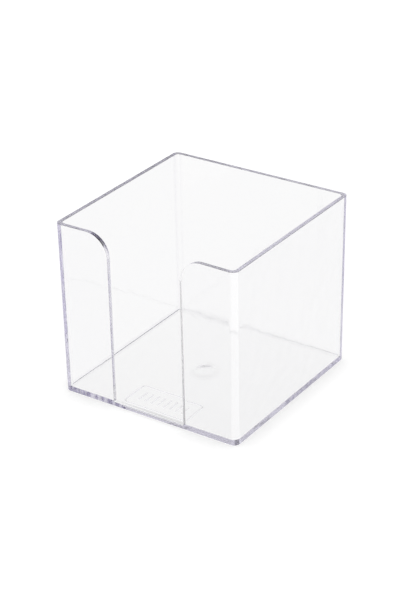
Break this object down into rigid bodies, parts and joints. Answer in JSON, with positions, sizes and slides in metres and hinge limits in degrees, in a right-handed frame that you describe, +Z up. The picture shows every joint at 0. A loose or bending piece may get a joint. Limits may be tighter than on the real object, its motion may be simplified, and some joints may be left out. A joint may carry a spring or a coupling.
{
  "type": "memo pad holder",
  "caption": "Open-topped square box in clear moulded plastic that holds a block of loose memo sheets, with a round-shouldered thumb notch cut down the front wall.",
  "frame": {"origin": "centre of the bottom face, on the table under the middle of the box", "axes": "+Z up; -Y is the front, where the thumb notch is; +X is to the right, seen from the front"},
  "size_m": [0.0962, 0.0962, 0.086],
  "materials": {
    "clear_plastic": "clear moulded polystyrene, glossy, faintly violet at its edges"
  },
  "bodies": {
    "root": {"holder_body": "clear_plastic"}
  },
  "joints": []
}
